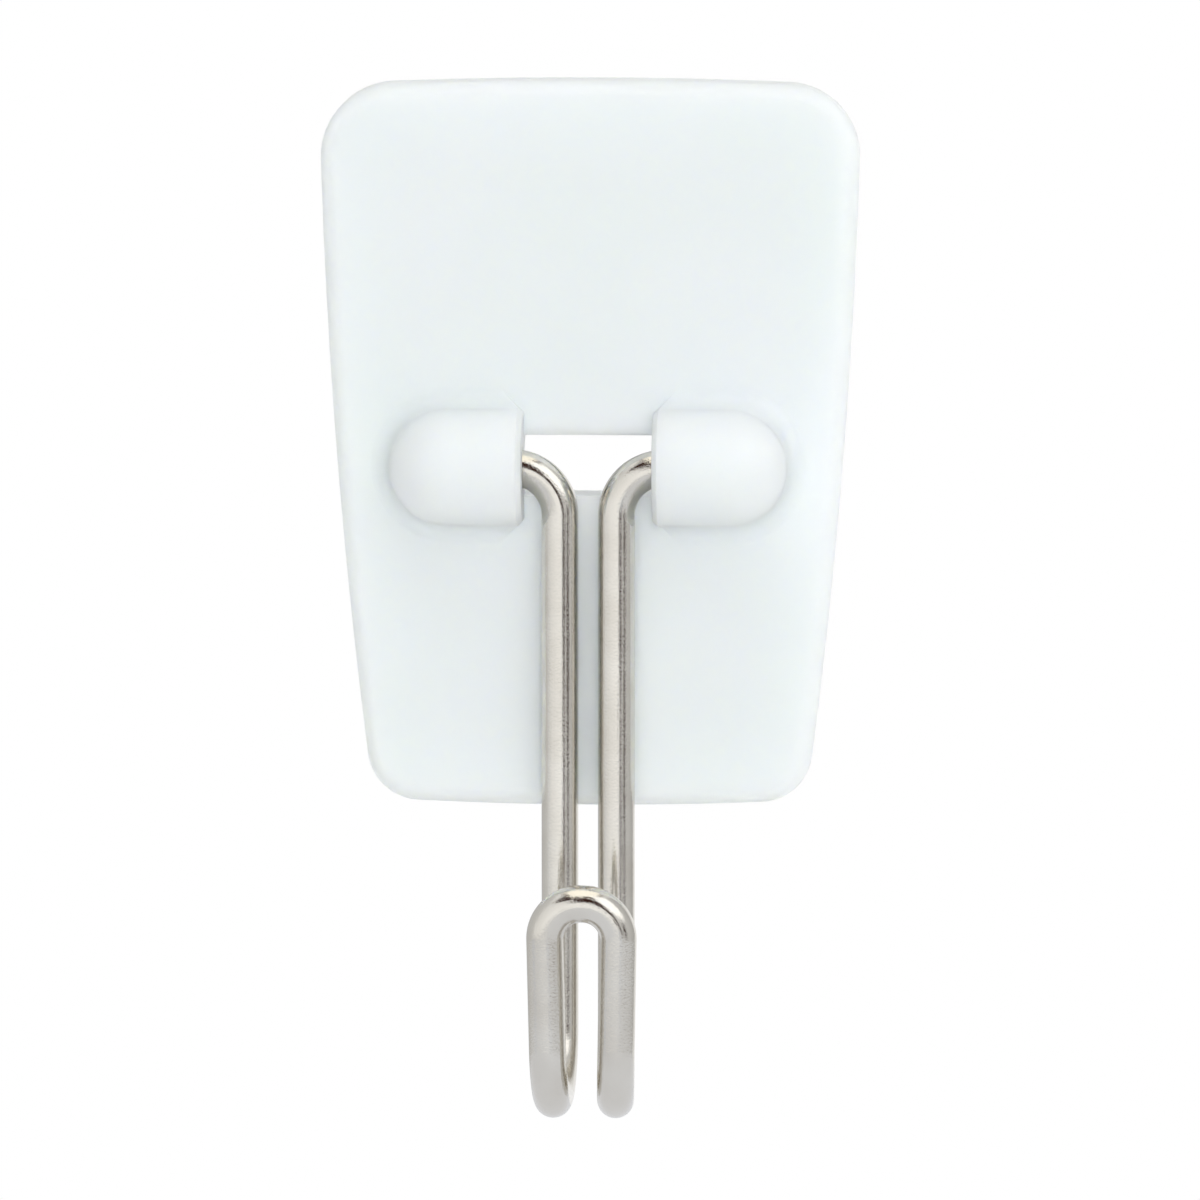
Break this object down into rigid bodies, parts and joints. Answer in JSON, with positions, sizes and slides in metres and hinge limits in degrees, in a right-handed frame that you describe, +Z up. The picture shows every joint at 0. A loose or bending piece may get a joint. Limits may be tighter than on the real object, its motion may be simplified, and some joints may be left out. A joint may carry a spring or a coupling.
{
  "type": "adhesive wall hook",
  "caption": "White moulded wall plate with an adhesive foam back and a bent nickel wire hook that hangs from bosses on its face and swings up in them.",
  "frame": {"origin": "on the wall, at the back of the foam pad, straight behind the middle of the axis that the wire swings about", "axes": "+Z up along the wall, +Y into the wall, so the hook's front faces -Y; +X to the right seen from the front, along the swing axis"},
  "size_m": [0.0262, 0.0127, 0.0502],
  "materials": {
    "plate_plastic": "satin",
    "hook_wire": "polished",
    "pad_foam": "matte"
  },
  "bodies": {
    "plate": {"base_plate": "plate_plastic", "adhesive_pad": "pad_foam"},
    "hook": {"wire_hook": "hook_wire"}
  },
  "joints": [
    {"name": "hook_swing", "type": "hinge", "parent": "plate", "child": "hook", "pos_m": [0, -0.0047, 0], "axis": [-1, 0, 0], "range_deg": [0, 168]}
  ]
}
